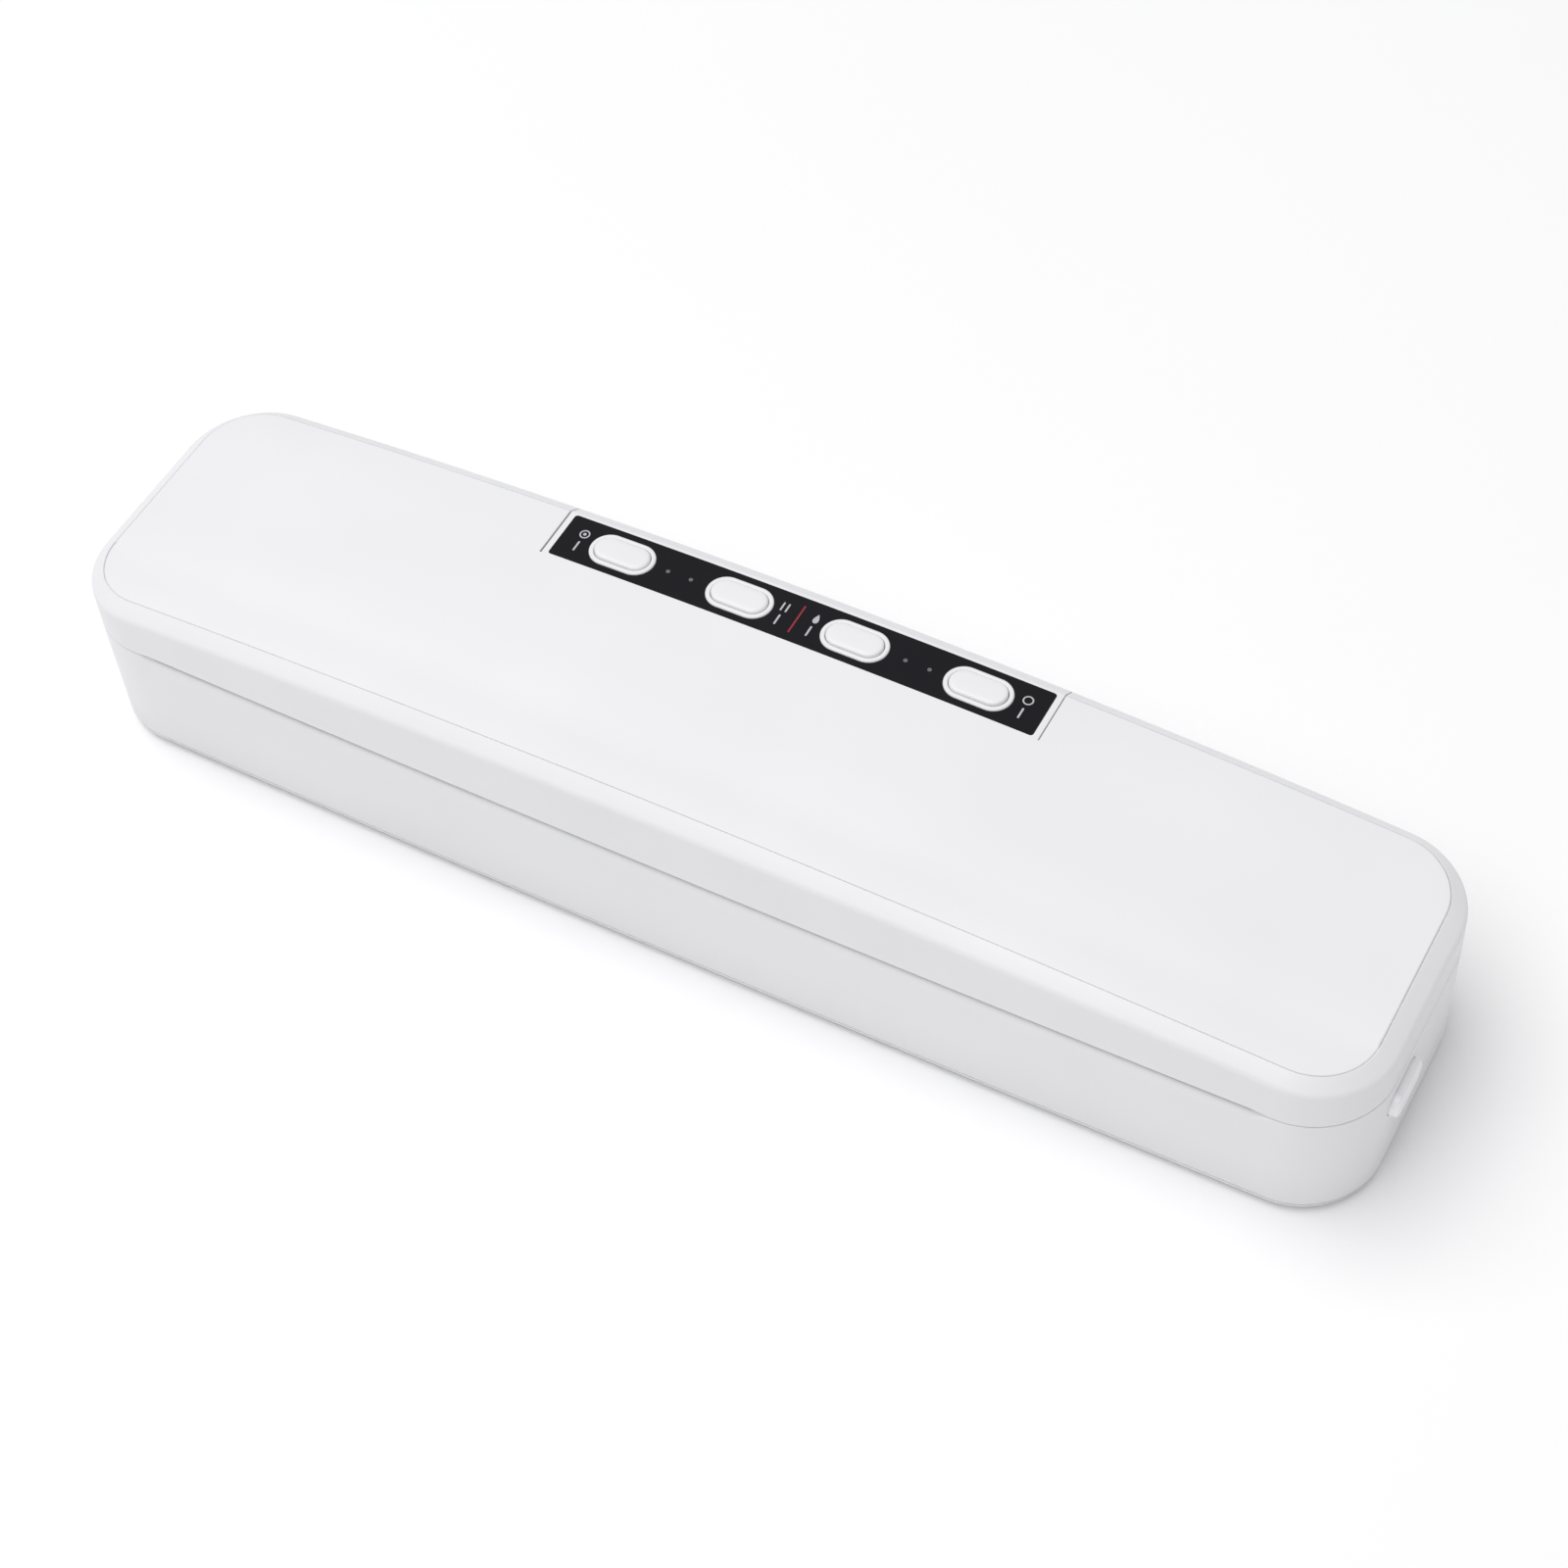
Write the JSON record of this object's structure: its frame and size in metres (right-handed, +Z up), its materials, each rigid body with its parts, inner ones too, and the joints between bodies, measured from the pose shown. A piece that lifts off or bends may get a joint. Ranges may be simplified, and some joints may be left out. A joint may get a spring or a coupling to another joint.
{
  "type": "vacuum sealer",
  "caption": "Slim rounded counter-top vacuum sealer: white body, hinged full-length lid with an arched inset panel, black control strip with obround buttons, end release buttons.",
  "frame": {"origin": "centre of the footprint at the level the feet stand on", "axes": "+X to the right along the length, +Y to the rear where the hinge is, +Z up"},
  "size_m": [0.3844, 0.0872, 0.0643],
  "materials": {
    "white_shell": "semi-gloss moulded ABS",
    "satin_panel": "satin moulded ABS",
    "button_white": "satin moulded ABS",
    "gloss_black": "gloss black film on acrylic",
    "lens_grey": "clear grey lens",
    "liner_grey": "fine-textured ABS",
    "tray_grey": "smooth moulded plastic",
    "foam_rubber": "closed-cell foam rubber",
    "silicone": "matt silicone",
    "heater_resin": "moulded phenolic",
    "resistance_alloy": "rolled alloy ribbon",
    "ptfe_tape": "woven glass coated with PTFE",
    "brass_contact": "pressed brass",
    "zinc_steel": "zinc-plated steel",
    "black_plastic": "moulded black plastic",
    "nylon": "natural nylon",
    "circuit_board": "green solder mask",
    "component_blue": "moulded blue housing",
    "component_green": "moulded green housing",
    "winding_tape": "yellow winding tape",
    "heat_sink_metal": "extruded aluminium"
  },
  "bodies": {
    "base": {"base_shell": "white_shell", "bottom_cover": "white_shell", "deck_plate": "white_shell", "base_knuckles": "white_shell", "control_housing": "white_shell", "control_overlay": "gloss_black", "indicator_lenses": "lens_grey", "drip_tray": "tray_grey", "suction_nozzle": "tray_grey", "hose_tee": "tray_grey", "lower_gasket": "foam_rubber", "rubber_feet": "foam_rubber", "air_hose": "silicone", "heater_bar": "heater_resin", "heating_element": "resistance_alloy", "heater_tape": "ptfe_tape", "heater_terminals": "brass_contact", "cover_screws": "zinc_steel", "deck_screws": "zinc_steel", "board_screws": "zinc_steel", "hinge_pins": "zinc_steel", "inlet_pins": "zinc_steel", "pump_motor": "zinc_steel", "pump_head": "black_plastic", "pump_cradle": "black_plastic", "tact_switches": "black_plastic", "power_inlet": "black_plastic", "main_board": "circuit_board", "key_board": "circuit_board", "relay": "component_blue", "release_valve": "component_blue", "board_capacitors": "component_blue", "terminal_block": "component_green", "reed_switch": "component_green", "transformer": "winding_tape", "heat_sink": "heat_sink_metal"},
    "lid": {"lid_shell": "white_shell", "lid_panel": "satin_panel", "lid_liner": "liner_grey", "upper_gasket": "foam_rubber", "seal_press_strip": "silicone", "lid_hooks": "liner_grey", "lid_knuckles": "white_shell", "liner_screws": "zinc_steel", "lid_magnet": "zinc_steel"},
    "vacuum_key": {"vacuum_button": "button_white"},
    "seal_key": {"seal_button": "button_white"},
    "wet_key": {"wet_button": "button_white"},
    "dry_key": {"dry_button": "button_white"},
    "release_left": {"release_button_left": "white_shell", "latch_slider_left": "black_plastic", "latch_spring_left": "zinc_steel"},
    "release_right": {"release_button_right": "white_shell", "latch_slider_right": "black_plastic", "latch_spring_right": "zinc_steel"},
    "pump_rotor": {"pump_shaft": "zinc_steel", "pump_eccentric": "nylon"}
  },
  "joints": [
    {"name": "lid_hinge", "type": "hinge", "parent": "base", "child": "lid", "pos_m": [0, 0.0402, 0.0407], "axis": [-1, 0, 0], "range_deg": [0, 65]},
    {"name": "vacuum_press", "type": "slide", "parent": "base", "child": "vacuum_key", "axis": [0, 0, -1], "range_m": [0, 0.0008], "stiffness_N_per_m": 1500},
    {"name": "seal_press", "type": "slide", "parent": "base", "child": "seal_key", "axis": [0, 0, -1], "range_m": [0, 0.0008], "stiffness_N_per_m": 1500},
    {"name": "wet_press", "type": "slide", "parent": "base", "child": "wet_key", "axis": [0, 0, -1], "range_m": [0, 0.0008], "stiffness_N_per_m": 1500},
    {"name": "dry_press", "type": "slide", "parent": "base", "child": "dry_key", "axis": [0, 0, -1], "range_m": [0, 0.0008], "stiffness_N_per_m": 1500},
    {"name": "release_left_press", "type": "slide", "parent": "base", "child": "release_left", "axis": [1, 0, 0], "range_m": [0, 0.0025], "stiffness_N_per_m": 700, "deforming": ["latch_spring_left"]},
    {"name": "release_right_press", "type": "slide", "parent": "base", "child": "release_right", "axis": [-1, 0, 0], "range_m": [0, 0.0025], "stiffness_N_per_m": 700, "deforming": ["latch_spring_right"]},
    {"name": "pump_spin", "type": "hinge", "parent": "base", "child": "pump_rotor", "pos_m": [-0.13, 0.016, 0.019], "axis": [1, 0, 0], "continuous": true}
  ]
}
